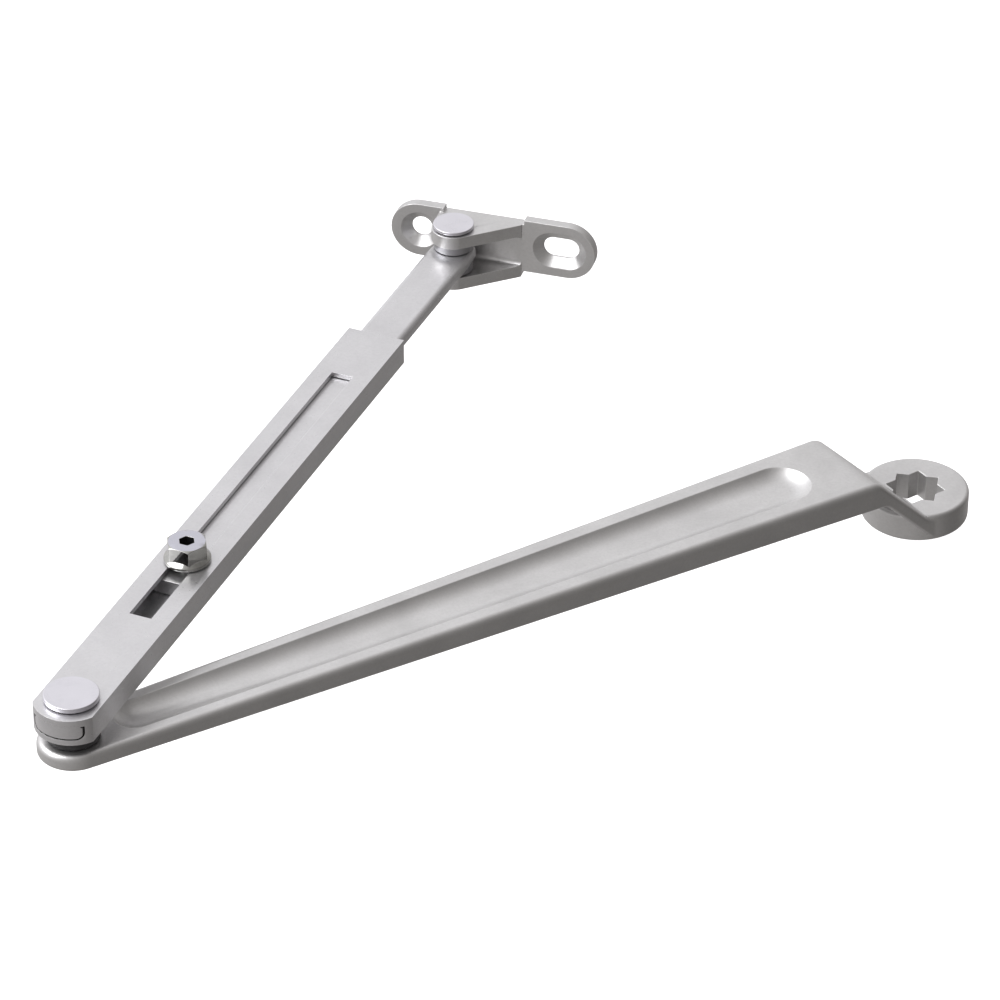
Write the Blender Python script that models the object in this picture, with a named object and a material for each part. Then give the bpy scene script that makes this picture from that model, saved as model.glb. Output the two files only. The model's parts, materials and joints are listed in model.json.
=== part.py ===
"""Door closer arm set: a cast main arm with a double-square hub, a telescopic forearm and a frame bracket.

Origin: centre of the spindle socket, on the underside of the hub. +X runs along the frame bracket's
plate, towards its slotted hole. +Y points at the door frame. +Z is the spindle's axis, away from the closer.
"""

import bmesh
import bpy
from math import asin, atan2, cos, degrees, pi, radians, sin, sqrt, tan
from mathutils import Vector

MM = 0.001
GAP = 0.3                      # free gap between separate pieces that meet face to face
RUN = 0.08                     # radial play of a pin in its bush

# Main arm
ARM_CENTRES = 342.8            # hub centre to elbow pin
ARM_TURN = 48.6                # the arm's direction at rest, from the elbow to the hub
HUB_R = 19.5
HUB_H = 10.7
HUB_EDGE_R = 1.4
ROOT_R = 18.9                  # round end of the arm's root, inside the hub's disc
ROOT_SUNK = 0.4                # the root's faces lie this far inside the hub's
SOCKET_SQUARE = 15.1           # across flats of each of the two squares
SOCKET_TURN = 2.6              # a corner of the socket, turned from the arm's own line
ELBOW_END_R = 12.4
ARM_TOP = 33.0
ARM_T_ELBOW = 6.0              # thickness at the elbow end
ARM_T_HUB = 10.8               # thickness where the joggle starts
ARM_EDGE_R = 2.4
ARM_EDGE_R_LOW = 1.4
JOGGLE_TOP_X = -32.5           # where the top face starts to fall at 45 degrees
JOGGLE_LOW_X = -28.9           # where the underside does
JOGGLE_SKEW = 0.066            # the bends run this much out of square to the arm
TROUGH_X0 = -327.6
TROUGH_X1 = -49.4
TROUGH_R0 = 7.7                # the trough's round ends
TROUGH_R1 = 11.1
TROUGH_DEPTH = 3.2
TROUGH_COVE = 7.2              # width of the hollow wall, an arc that meets the floor level

# Forearm
ELBOW_ANGLE = 35.1             # between the main arm and the forearm at rest
SLEEVE_W = 22.0
SLEEVE_H = 9.8
SLEEVE_WALL = 1.8
SLEEVE_TOP = 48.2
SLEEVE_END = 244.0             # elbow pin to the sleeve's open end
SLEEVE_NOSE_R = 12.85
SLOT_X0 = 50.5
SLOT_X1 = 213.9
SLOT_W = 8.2
BAR_W = 17.0
BAR_T = 5.6
BAR_START = 75.0
BAR_EYE_R = 8.3
BAR_EDGE_R = 1.4
FOREARM = 315.0                # elbow pin to bracket pin at rest
BLOCK_END = 17.0

# Pins
ELBOW_HEAD_R = 9.35
ELBOW_HEAD_T = 1.95
ELBOW_SHANK_R = 5.0
ELBOW_BUSH_R = 6.5
BRACKET_HEAD_R = 7.7
BRACKET_HEAD_T = 1.5
BRACKET_SHANK_R = 4.0
BRACKET_BUSH_R = 5.2

# Clamp screw (M8, 13 mm across flats, 5 mm hexagon socket)
SCREW_X = 86.5
SCREW_HEX = 13.0
SCREW_SHANK_R = 4.0
SCREW_FLANGE_R = 8.2
SCREW_HEAD_H = 7.85
SCREW_KEY = 5.0
SCREW_KEY_DEPTH = 4.2

# Frame bracket
BRACKET_TURN = 6.3             # the plate's normal, turned from the forearm at rest
PLATE_FRONT = 9.2              # pin axis to the plate's front face
PLATE_T = 4.0
WING_TOP = 56.4
WING_R = 11.1
WING_LEFT = -16.5
WING_RIGHT = 41.65
HOLE_LEFT = -16.2
HOLE_RIGHT = 38.8
HOLE_R = 4.0
COUNTERSINK_R = 7.5
COUNTERSINK_DEPTH = 3.2
SLOT_SPREAD = 5.8
EAR_TOP = 54.7
EAR_T = 5.0
EAR_LOW_TOP = 36.9
EAR_TIP_R = 8.4
EAR_ROOT = 24.0                # how far the ears reach along the plate
MIDDLE_LEFT = -6.7             # between these the plate is only as high as the ears
MIDDLE_RIGHT = 24.8

STEEL_SATIN = (0.60, 0.595, 0.59)
STEEL_PIN = (0.70, 0.70, 0.72)
ZINC_BRIGHT = (0.72, 0.73, 0.76)
BUSH_DARK = (0.10, 0.10, 0.105)
BRONZE = (0.48, 0.34, 0.18)


def material(name, colour, roughness, metallic):
    shader = bpy.data.materials.new(name)
    shader.use_nodes = True
    node = shader.node_tree.nodes["Principled BSDF"]
    node.inputs["Base Color"].default_value = (*colour, 1)
    node.inputs["Roughness"].default_value = roughness
    node.inputs["Metallic"].default_value = metallic
    return shader


def finish(mesh_data, name, parent=None):
    """A scene object from a bmesh in millimetres, in its parent's frame."""
    bmesh.ops.remove_doubles(mesh_data, verts=mesh_data.verts, dist=0.0005)
    bmesh.ops.recalc_face_normals(mesh_data, faces=mesh_data.faces)
    bmesh.ops.scale(mesh_data, vec=(MM, MM, MM), verts=mesh_data.verts)
    mesh = bpy.data.meshes.new(name)
    mesh_data.to_mesh(mesh)
    mesh_data.free()
    obj = bpy.data.objects.new(name, mesh)
    bpy.context.scene.collection.objects.link(obj)
    obj.parent = parent
    return obj


def arc(cx, cy, r, start, end, steps):
    """Points on a circle from one angle to another, in degrees, both ends included."""
    turns = [radians(start + (end - start) * i / steps) for i in range(steps + 1)]
    return [(cx + r * cos(a), cy + r * sin(a)) for a in turns]


def prism(name, outline, low, high, parent=None):
    """A plan outline, anticlockwise, drawn up from one height to another."""
    made = bmesh.new()
    base = made.faces.new([made.verts.new((x, y, low)) for x, y in outline])
    raised = bmesh.ops.extrude_face_region(made, geom=[base])
    top = [item for item in raised["geom"] if isinstance(item, bmesh.types.BMVert)]
    bmesh.ops.translate(made, vec=(0, 0, high - low), verts=top)
    return finish(made, name, parent)


def stack(name, rings, parent=None):
    """A closed skin over rings of equal length, lowest first."""
    made = bmesh.new()
    loops = [[made.verts.new(point) for point in ring] for ring in rings]
    for low, high in zip(loops, loops[1:]):
        for i in range(len(low)):
            j = (i + 1) % len(low)
            made.faces.new((low[i], low[j], high[j], high[i]))
    made.faces.new(loops[0][::-1])
    made.faces.new(loops[-1])
    return finish(made, name, parent)


def turned(name, profile, steps, parent=None):
    """A solid of revolution about Z, from (radius, height) pairs on its outer side, lowest first."""
    rings = []
    for r, z in profile:
        rings.append([(x, y, z) for x, y in arc(0, 0, r, 0, 360 - 360 / steps, steps - 1)])
    return stack(name, rings, parent)


def ring_piece(name, inner, outer, low, high, steps, parent=None):
    """A plain bush or washer."""
    made = bmesh.new()
    corners = ((inner, low), (outer, low), (outer, high), (inner, high))
    loops = []
    for r, z in corners:
        circle = arc(0, 0, r, 0, 360 - 360 / steps, steps - 1)
        loops.append([made.verts.new((x, y, z)) for x, y in circle])
    for k in range(4):
        first = loops[k]
        second = loops[(k + 1) % 4]
        for i in range(steps):
            j = (i + 1) % steps
            made.faces.new((first[i], first[j], second[j], second[i]))
    return finish(made, name, parent)


def boolean(obj, tool, operation="DIFFERENCE"):
    """Cuts or joins a tool, which stays in the scene as a hidden wire shape."""
    tool.hide_render = True
    tool.display_type = "WIRE"
    step = obj.modifiers.new(operation.title() + "_" + tool.name, "BOOLEAN")
    step.operation = operation
    step.solver = "EXACT"
    step.object = tool


def dress(obj, shader, angle=35):
    obj.data.materials.clear()
    obj.data.materials.append(shader)
    obj.data.shade_smooth()
    obj.data.set_sharp_from_angle(angle=radians(angle))


def empty(name, location, turn=0.0, parent=None):
    """A marker in millimetres and degrees, which carries the pieces of one moving body."""
    marker = bpy.data.objects.new(name, None)
    bpy.context.scene.collection.objects.link(marker)
    marker.parent = parent
    marker.location = Vector(location) * MM
    marker.rotation_euler = (0, 0, radians(turn))
    return marker


# The main arm's shape

def fall(u, r):
    """How far a 45 degree slope that starts at u = 0 has dropped, with a bend of radius r."""
    tangent = r * tan(pi / 8)
    if u <= -tangent:
        return 0.0
    if u >= r * sin(pi / 4) - tangent:
        return u
    return r - sqrt(r * r - (u + tangent) ** 2)


def arm_half_width(x):
    share = min(1.0, (x + ARM_CENTRES) / (ARM_CENTRES + JOGGLE_TOP_X))
    return ELBOW_END_R + (ROOT_R - ELBOW_END_R) * share


def joggle_x(x, y):
    """Distance along the arm, measured square to the joggle's skewed bends."""
    return x + JOGGLE_SKEW * (y - ROOT_R)


def arm_top(x):
    root_top = HUB_H - ROOT_SUNK
    foot = JOGGLE_TOP_X + ARM_TOP - root_top
    if x < (JOGGLE_TOP_X + foot) / 2:
        return ARM_TOP - fall(x - JOGGLE_TOP_X, 7.0)
    return root_top + fall(foot - x, 2.5)


def arm_bottom(x):
    low_end = ARM_TOP - ARM_T_HUB
    foot = JOGGLE_LOW_X + low_end - ROOT_SUNK
    if x < (JOGGLE_LOW_X + foot) / 2:
        share = min(1.0, (JOGGLE_LOW_X - x) / (ARM_CENTRES + JOGGLE_LOW_X))
        run = low_end + (ARM_T_HUB - ARM_T_ELBOW) * max(0.0, share)
        return run - fall(x - JOGGLE_LOW_X, 6.0)
    return ROOT_SUNK + fall(foot - x, 2.0)


def arm_stations():
    """Where the arm's straight flanks are sampled: closely over the joggle, widely elsewhere."""
    wide = [-ARM_CENTRES + (ARM_CENTRES - 44.0) * i / 10 for i in range(1, 11)]
    return wide + [-42.0 + 1.8 * i for i in range(1, 23)]


def arm_ring(inset):
    """The arm's plan outline, moved in by a distance, anticlockwise from the near flank."""
    flank = [(x, arm_half_width(x) - inset) for x in arm_stations()]
    elbow = arc(-ARM_CENTRES, 0, ELBOW_END_R - inset, 90, 270, 20)
    root = arc(0, 0, ROOT_R - inset, -90, 90, 28)
    near = [(x, -y) for x, y in flank]
    return near + root + flank[::-1] + elbow


def arm_surface(inset, drop, upper):
    if upper:
        return [(x, y, arm_top(joggle_x(x, y)) - drop) for x, y in arm_ring(inset)]
    return [(x, y, arm_bottom(joggle_x(x, y)) + drop) for x, y in arm_ring(inset)]


def across(made, loop):
    """Fills a ring whose two flanks mirror each other, with strips from side to side."""
    flank = len(arm_stations())
    root_points = 29
    elbow_points = 21
    total = 2 * flank + root_points + elbow_points
    # The middle of the root's arc, and the steps from there round each side, face each other.
    centre = flank + root_points // 2
    left = [loop[(centre - k) % total] for k in range(total // 2 + 1)]
    right = [loop[(centre + k) % total] for k in range(total // 2 + 1)]
    for k in range(total // 2):
        corners = []
        for vert in (left[k], left[k + 1], right[k + 1], right[k]):
            if vert not in corners:
                corners.append(vert)
        if len(corners) > 2:
            made.faces.new(corners)


def make_arm(name, parent):
    """A tapered flat arm with rounded edges, which drops at 45 degrees to the hub's plate."""
    made = bmesh.new()
    rings = []
    for k in range(4):
        turn = k * pi / 6
        r = ARM_EDGE_R_LOW
        rings.append(arm_surface(r - r * sin(turn), r - r * cos(turn), False))
    for k in range(4):
        turn = pi / 2 - k * pi / 6
        r = ARM_EDGE_R
        rings.append(arm_surface(r - r * sin(turn), r - r * cos(turn), True))
    loops = [[made.verts.new(point) for point in ring] for ring in rings]
    for low, high in zip(loops, loops[1:]):
        for i in range(len(low)):
            j = (i + 1) % len(low)
            made.faces.new((low[i], low[j], high[j], high[i]))
    across(made, loops[0])
    across(made, loops[-1])
    return finish(made, name, parent)


def trough_ring(inset, z):
    """The trough's plan outline, a tapered stadium."""
    first = arc(TROUGH_X0 + TROUGH_R0, 0, TROUGH_R0 - inset, 90, 270, 14)
    second = arc(TROUGH_X1 - TROUGH_R1, 0, TROUGH_R1 - inset, -90, 90, 14)
    return [(x, y, z) for x, y in first + second]


def make_trough(name, parent):
    """The wall is an arc that starts level at the floor and reaches the rim at a slope."""
    wall_r = (TROUGH_COVE ** 2 + TROUGH_DEPTH ** 2) / (2 * TROUGH_DEPTH)
    steps = 6
    rings = []
    for k in range(steps + 1):
        run = TROUGH_COVE * k / steps
        rise = wall_r - sqrt(wall_r ** 2 - run ** 2)
        rings.append(trough_ring(TROUGH_COVE - run, ARM_TOP - TROUGH_DEPTH + rise))
    rings.append(trough_ring(0, ARM_TOP + 2))
    return stack(name, rings, parent)


def star_outline(half_flat):
    """Two squares, one turned by 45 degrees."""
    corner = half_flat * sqrt(2)
    notch = half_flat / cos(pi / 8)
    points = []
    for k in range(16):
        r = corner if k % 2 == 0 else notch
        turn = radians(SOCKET_TURN) + k * pi / 8
        points.append((r * cos(turn), r * sin(turn)))
    return points


# The forearm's shapes, in the forearm's own frame: the elbow pin's axis at 0, the bar towards +X

def nose_outline(r, half_width, end):
    """A straight bar end cut to an arc about the pin's axis."""
    half_angle = degrees(asin(half_width / r))
    return arc(0, 0, r, 180 - half_angle, 180 + half_angle, 16) + [(end, -half_width), (end, half_width)]


def box_outline(x0, x1, half_width):
    return [(x0, -half_width), (x1, -half_width), (x1, half_width), (x0, half_width)]


def make_sleeve(parent):
    bottom = SLEEVE_TOP - SLEEVE_H
    outside = nose_outline(SLEEVE_NOSE_R, SLEEVE_W / 2, SLEEVE_END)
    sleeve = prism("forearm_sleeve", outside, bottom, SLEEVE_TOP, parent)
    bore = box_outline(-20, SLEEVE_END + 5, SLEEVE_W / 2 - SLEEVE_WALL)
    hollow = prism("cut_sleeve_bore", bore, bottom + SLEEVE_WALL, SLEEVE_TOP - SLEEVE_WALL, parent)
    slot = prism("cut_sleeve_slot", box_outline(SLOT_X0, SLOT_X1, SLOT_W / 2), SLEEVE_TOP - SLEEVE_WALL - 1,
                 SLEEVE_TOP + 1, parent)
    eye = turned("cut_sleeve_eye", [(ELBOW_SHANK_R + GAP, bottom - 1), (ELBOW_SHANK_R + GAP, SLEEVE_TOP + 1)],
                 32, parent)
    for tool in (hollow, slot, eye):
        boolean(sleeve, tool)
    return sleeve


def make_block(parent):
    """The solid filler in the sleeve's elbow end, flush with the nose."""
    low = SLEEVE_TOP - SLEEVE_H + SLEEVE_WALL + GAP
    high = SLEEVE_TOP - SLEEVE_WALL - GAP
    outline = nose_outline(SLEEVE_NOSE_R, SLEEVE_W / 2 - SLEEVE_WALL - GAP, BLOCK_END)
    block = prism("elbow_block", outline, low, high, parent)
    eye = turned("cut_block_eye", [(ELBOW_SHANK_R + GAP, low - 1), (ELBOW_SHANK_R + GAP, high + 1)], 32, parent)
    boolean(block, eye)
    return block


def rounded_bar_ring(inset, z):
    first = [(BAR_START, BAR_W / 2 - inset), (BAR_START, -BAR_W / 2 + inset)]
    half = degrees(asin((BAR_W / 2 - 0.4) / (BAR_W / 2)))
    eye = arc(FOREARM, 0, BAR_EYE_R - inset, -half, half, 16)
    neck = FOREARM - 6.0
    return [(x, y, z) for x, y in first + [(neck, -BAR_W / 2 + inset)] + eye + [(neck, BAR_W / 2 - inset)]]


def make_bar(parent):
    top = SLEEVE_TOP - SLEEVE_WALL - GAP
    low = top - BAR_T
    rings = []
    for k in range(3):
        turn = k * pi / 4
        r = BAR_EDGE_R
        rings.append(rounded_bar_ring(r - r * sin(turn), low + r - r * cos(turn)))
    for k in range(3):
        turn = pi / 2 - k * pi / 4
        r = BAR_EDGE_R
        rings.append(rounded_bar_ring(r - r * sin(turn), top - r + r * cos(turn)))
    bar = stack("forearm_bar", rings, parent)
    # The eye holds a bush; the tapped hole takes the clamp screw's shank.
    for label, x, r in (("eye", FOREARM, BRACKET_BUSH_R + RUN), ("screw_hole", SCREW_X, SCREW_SHANK_R + GAP)):
        tool = turned("cut_bar_" + label, [(r, low - 1), (r, top + 1)], 32, parent)
        tool.location = (x * MM, 0, 0)
        boolean(bar, tool)
    return bar


def hexagon(across_flats, z):
    r = across_flats / sqrt(3)
    return [(r * cos(radians(30 + 60 * k)), r * sin(radians(30 + 60 * k)), z) for k in range(6)]


def make_screw(parent):
    """Flanged hexagon head with a socket, over a shank that ends in the bar."""
    seat = SLEEVE_TOP + GAP
    top = SLEEVE_TOP + SCREW_HEAD_H
    tip = SLEEVE_TOP - SLEEVE_WALL - GAP - BAR_T + 0.5
    profile = [(SCREW_SHANK_R - 0.6, tip), (SCREW_SHANK_R, tip + 0.6), (SCREW_SHANK_R, seat),
               (SCREW_FLANGE_R, seat), (SCREW_FLANGE_R, seat + 1.3), (SCREW_HEX / 2 + 0.3, seat + 2.4)]
    screw = turned("clamp_screw", profile, 36, parent)
    head = stack("tool_screw_head", [hexagon(SCREW_HEX, seat + 1.0), hexagon(SCREW_HEX, top)], parent)
    crown = [(SCREW_HEX / 2 + 3.2, seat + 0.5), (SCREW_HEX / 2 + 3.2, top - 1.9), (SCREW_HEX / 2 - 0.1, top)]
    boolean(head, turned("tool_screw_crown", crown, 36, parent), "INTERSECT")
    boolean(screw, head, "UNION")
    key = stack("cut_screw_key", [hexagon(SCREW_KEY, top - SCREW_KEY_DEPTH), hexagon(SCREW_KEY, top + 1)], parent)
    boolean(screw, key)
    return screw


# The frame bracket, in its own frame: the bracket pin's axis at 0, the plate across +Y at PLATE_FRONT

def upright(name, outline, y0, y1, parent):
    """An outline in X and Z, drawn from one Y to another."""
    rings = [[(x, y, z) for x, z in outline] for y in (y0, y1)]
    return stack(name, rings, parent)


def obround(x0, x1, z, r, steps=12):
    return arc(x1, z, r, -90, 90, steps) + arc(x0, z, r, 90, 270, steps)


def make_bracket(parent):
    """A plate with two screw wings, and two ears that hold the pin between them."""
    back = PLATE_FRONT + PLATE_T
    middle = WING_TOP - WING_R
    ear_low = EAR_LOW_TOP - EAR_T
    bracket = upright("frame_bracket", obround(WING_LEFT, WING_RIGHT, middle, WING_R, 16), PLATE_FRONT, back, parent)

    # The ears' plan: square to the plate on the left, sloping to the plate's middle on the right.
    slope = atan2(PLATE_FRONT + 6.2, EAR_ROOT)
    sloping = degrees(slope) - 90
    tip = arc(0, 0, EAR_TIP_R, 180, 360 + sloping, 14)
    outline = tip + [(EAR_ROOT, PLATE_FRONT - 0.6), (EAR_ROOT, back), (-EAR_TIP_R, back)]
    clevis = prism("tool_bracket_clevis", outline, ear_low, EAR_TOP, parent)
    throat = box_outline(-40, 60, 20)
    throat = [(x, y - 20 + PLATE_FRONT) for x, y in throat]
    boolean(clevis, prism("cut_bracket_throat", throat, EAR_LOW_TOP, EAR_TOP - EAR_T, parent))

    # Between the wings the plate is only as high as the ears.
    for label, z0, z1 in (("crest", EAR_TOP, WING_TOP + 1), ("sill", WING_TOP - 2 * WING_R - 4, ear_low)):
        notch = [(MIDDLE_LEFT, PLATE_FRONT - 1), (MIDDLE_RIGHT, PLATE_FRONT - 1), (MIDDLE_RIGHT, back + 1),
                 (MIDDLE_LEFT, back + 1)]
        boolean(bracket, prism("cut_bracket_" + label, notch, z0, z1, parent))
    boolean(bracket, clevis, "UNION")

    holes = (("round", HOLE_LEFT, 0.0), ("slot", HOLE_RIGHT, SLOT_SPREAD / 2))
    for label, x, spread in holes:
        through = obround(x - spread, x + spread, middle, HOLE_R)
        if spread == 0.0:
            through = arc(x, middle, HOLE_R, 0, 345, 23)
        boolean(bracket, upright("cut_bracket_" + label, through, PLATE_FRONT - 1, back + 1, parent))
        rings = []
        slope_out = (COUNTERSINK_R - HOLE_R) / COUNTERSINK_DEPTH
        for y, r in ((PLATE_FRONT - 0.5, COUNTERSINK_R + 0.5 * slope_out),
                     (PLATE_FRONT + COUNTERSINK_DEPTH + 0.3, HOLE_R - 0.3 * slope_out)):
            ring = obround(x - spread, x + spread, middle, r)
            if spread == 0.0:
                ring = arc(x, middle, r, 0, 345, 23)
            rings.append([(px, y, pz) for px, pz in ring])
        boolean(bracket, stack("cut_bracket_sink_" + label, rings, parent))

    eye_r = BRACKET_SHANK_R + RUN
    boolean(bracket, turned("cut_bracket_eyes", [(eye_r, ear_low - 1), (eye_r, EAR_TOP + 1)], 32, parent))
    return bracket


for old in list(bpy.data.objects):
    bpy.data.objects.remove(old, do_unlink=True)

cast = material("cast_satin", STEEL_SATIN, 0.38, 0.9)
drawn = material("drawn_satin", STEEL_SATIN, 0.32, 0.9)
pinned = material("turned_pin", STEEL_PIN, 0.25, 1.0)
zinc = material("bright_zinc", ZINC_BRIGHT, 0.15, 1.0)
dark = material("dark_polymer", BUSH_DARK, 0.5, 0.0)
bronze = material("sintered_bronze", BRONZE, 0.45, 0.9)

# Main arm
spindle_axis = empty("spindle_axis", (0, 0, 0), ARM_TURN)
arm = make_arm("main_arm", spindle_axis)
edge_steps = [k * pi / 8 for k in range(5)]
hub_profile = [(HUB_R - HUB_EDGE_R * (1 - sin(t)), HUB_EDGE_R * (1 - cos(t))) for t in edge_steps]
hub_profile += [(r, HUB_H - z) for r, z in hub_profile[::-1]]
boolean(arm, turned("tool_hub", hub_profile, 72, spindle_axis), "UNION")
boolean(arm, make_trough("cut_trough", spindle_axis))
boolean(arm, prism("cut_socket", star_outline(SOCKET_SQUARE / 2), -1, HUB_H + 24, spindle_axis))
elbow = empty("elbow_axis", (-ARM_CENTRES, 0, 0), ELBOW_ANGLE, spindle_axis)
arm_low = ARM_TOP - ARM_T_ELBOW
arm_eye = turned("cut_arm_eye", [(ELBOW_BUSH_R + RUN, arm_low - 3), (ELBOW_BUSH_R + RUN, ARM_TOP + 1)], 32, elbow)
boolean(arm, arm_eye)
dress(arm, cast)

# Elbow: the bush in the arm, the spacer over it, and the headed pin with its tail riveted over a washer
bush = ring_piece("elbow_bush", ELBOW_SHANK_R + RUN, ELBOW_BUSH_R, arm_low, ARM_TOP, 32, elbow)
dress(bush, bronze)
spacer_high = SLEEVE_TOP - SLEEVE_H - GAP
spacer = ring_piece("elbow_spacer", ELBOW_SHANK_R + RUN, ELBOW_HEAD_R, ARM_TOP + GAP, spacer_high, 32, elbow)
dress(spacer, dark)
tail_washer_top = arm_low - GAP
tail_washer = ring_piece("elbow_tail_washer", ELBOW_SHANK_R + RUN, 8.5, tail_washer_top - 1.2, tail_washer_top,
                         32, elbow)
dress(tail_washer, pinned)
seat = SLEEVE_TOP + GAP
tail = tail_washer_top - 1.2 - GAP
pin_profile = [(ELBOW_SHANK_R + 0.8, tail - 1.4), (ELBOW_SHANK_R + 1.6, tail - 0.8), (ELBOW_SHANK_R + 1.6, tail),
               (ELBOW_SHANK_R, tail), (ELBOW_SHANK_R, seat), (ELBOW_HEAD_R, seat),
               (ELBOW_HEAD_R, seat + ELBOW_HEAD_T - 0.5), (ELBOW_HEAD_R - 0.4, seat + ELBOW_HEAD_T)]
elbow_pin = turned("elbow_pin", pin_profile, 40, elbow)
dress(elbow_pin, pinned)

# Forearm
sleeve = make_sleeve(elbow)
dress(sleeve, drawn)
block = make_block(elbow)
dress(block, cast)
bar = make_bar(elbow)
dress(bar, drawn)
screw_axis = empty("screw_axis", (SCREW_X, 0, 0), 0, elbow)
screw = make_screw(screw_axis)
dress(screw, zinc)

# Bracket end: the bush in the bar's eye, a washer each side of it, the headed pin and the bracket
bracket_axis = empty("bracket_axis", (FOREARM, 0, 0), 0, elbow)
bar_top = SLEEVE_TOP - SLEEVE_WALL - GAP
bar_low = bar_top - BAR_T
bar_bush = ring_piece("bar_bush", BRACKET_SHANK_R + RUN, BRACKET_BUSH_R, bar_low, bar_top, 32, bracket_axis)
dress(bar_bush, bronze)
upper_washer = ring_piece("upper_washer", BRACKET_SHANK_R + RUN, BRACKET_HEAD_R - 0.2, bar_top + GAP,
                          EAR_TOP - EAR_T - GAP, 32, bracket_axis)
dress(upper_washer, pinned)
lower_washer = ring_piece("lower_washer", BRACKET_SHANK_R + RUN, BRACKET_HEAD_R - 0.2, EAR_LOW_TOP + GAP,
                          bar_low - GAP, 32, bracket_axis)
dress(lower_washer, pinned)
seat = EAR_TOP + GAP
tail = EAR_LOW_TOP - EAR_T - GAP
pin_profile = [(BRACKET_SHANK_R + 0.7, tail - 1.3), (BRACKET_SHANK_R + 1.4, tail - 0.7), (BRACKET_SHANK_R + 1.4, tail),
               (BRACKET_SHANK_R, tail), (BRACKET_SHANK_R, seat), (BRACKET_HEAD_R, seat),
               (BRACKET_HEAD_R, seat + BRACKET_HEAD_T - 0.4), (BRACKET_HEAD_R - 0.3, seat + BRACKET_HEAD_T)]
bracket_pin = turned("bracket_pin", pin_profile, 40, bracket_axis)
dress(bracket_pin, pinned)
plate_axis = empty("plate_axis", (0, 0, 0), BRACKET_TURN - 90, bracket_axis)
bracket = make_bracket(plate_axis)
dress(bracket, cast)
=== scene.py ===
"""A folding door closer arm: a cast arm, a telescopic forearm with a clamp screw, and a bracket."""

import json
from math import asin, atan2, cos, degrees, pi, radians, sin, sqrt, tan

import bmesh
import bpy
from mathutils import Matrix, Quaternion, Vector

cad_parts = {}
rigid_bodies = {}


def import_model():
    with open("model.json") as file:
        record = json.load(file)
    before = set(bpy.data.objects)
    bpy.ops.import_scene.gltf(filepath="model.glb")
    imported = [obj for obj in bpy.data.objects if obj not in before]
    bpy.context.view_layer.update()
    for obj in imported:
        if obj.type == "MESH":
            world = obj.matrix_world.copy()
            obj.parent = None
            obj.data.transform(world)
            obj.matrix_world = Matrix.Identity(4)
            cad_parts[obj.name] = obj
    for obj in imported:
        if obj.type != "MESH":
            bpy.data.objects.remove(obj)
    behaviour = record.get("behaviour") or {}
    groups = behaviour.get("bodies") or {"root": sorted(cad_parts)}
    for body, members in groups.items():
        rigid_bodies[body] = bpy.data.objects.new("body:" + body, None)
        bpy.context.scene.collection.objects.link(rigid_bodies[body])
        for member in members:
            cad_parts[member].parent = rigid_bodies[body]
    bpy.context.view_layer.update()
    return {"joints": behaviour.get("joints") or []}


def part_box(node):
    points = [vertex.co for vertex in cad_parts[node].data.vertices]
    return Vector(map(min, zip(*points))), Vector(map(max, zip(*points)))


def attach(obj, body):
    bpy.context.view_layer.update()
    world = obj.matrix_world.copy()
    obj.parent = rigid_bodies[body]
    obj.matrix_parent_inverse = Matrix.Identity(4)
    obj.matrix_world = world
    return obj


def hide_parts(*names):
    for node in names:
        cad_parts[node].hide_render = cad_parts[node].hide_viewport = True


for startup in list(bpy.data.objects):
    bpy.data.objects.remove(startup, do_unlink=True)
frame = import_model()

joints = {joint["name"]: joint for joint in frame["joints"]}
MM = 0.001


# ---------------------------------------------------------------------------------------------
# Main arm. One steel casting with a satin silver coat: a flat arm that widens and thickens towards
# its hub, a shallow trough along its top, and a 45 degree joggle down to the hub. The hub is driven
# by the closer's square spindle, through a socket of two squares that is cut right through it.

ARM_CENTRES = 342.8
ARM_TURN = 48.6
HUB_R = 19.5
HUB_H = 10.7
HUB_EDGE = 1.4
ROOT_R = 18.9
ROOT_SUNK = 0.4
SOCKET_SQUARE = 15.1
SOCKET_TURN = 2.6
ELBOW_END_R = 12.4
ARM_TOP = 33.0
ARM_T_ELBOW = 6.0
ARM_T_HUB = 10.8
ARM_EDGE_R = 2.4
ARM_EDGE_R_LOW = 1.4
JOGGLE_TOP_X = -32.5
JOGGLE_LOW_X = -28.9
JOGGLE_SKEW = 0.066
TROUGH_X0 = -327.6
TROUGH_X1 = -49.4
TROUGH_R0 = 7.7
TROUGH_R1 = 11.1
TROUGH_DEPTH = 3.2
TROUGH_COVE = 7.2
TROUGH_STEPS = 14
TOP_BEND_R = 7.0
TOP_FOOT_R = 2.5
LOW_BEND_R = 6.0
LOW_FOOT_R = 2.0
BUSH_SEAT_R = 6.58
ROOT_STEPS = 72
EDGE_STEPS = 7
STRAIGHT_STEPS = 24
STRAIGHT_END = 44.0
JOGGLE_STEP = 0.75


def arc(cx, cy, r, start, end, steps):
    turns = [radians(start + (end - start) * i / steps) for i in range(steps + 1)]
    return [(cx + r * cos(a), cy + r * sin(a)) for a in turns]


def circle(r, z, steps):
    return [(x, y, z) for x, y in arc(0.0, 0.0, r, 0, 360 - 360 / steps, steps - 1)]


def hole_outline(r, x=0):
    """A drilled hole's outline, with 60 corners."""
    return arc(x, 0, r, 0, 354, 59)


def in_scene(name, data):
    made = bpy.data.objects.new(name, data)
    bpy.context.scene.collection.objects.link(made)
    return made


def as_object(made, name, place):
    """An object at the origin from a bmesh in millimetres, its place put into the mesh."""
    bmesh.ops.remove_doubles(made, verts=made.verts, dist=0.0005)
    bmesh.ops.recalc_face_normals(made, faces=made.faces)
    bmesh.ops.scale(made, vec=(MM, MM, MM), verts=made.verts)
    bmesh.ops.transform(made, matrix=place, verts=made.verts)
    mesh = bpy.data.meshes.new(name)
    made.to_mesh(mesh)
    made.free()
    return in_scene(name, mesh)


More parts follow.
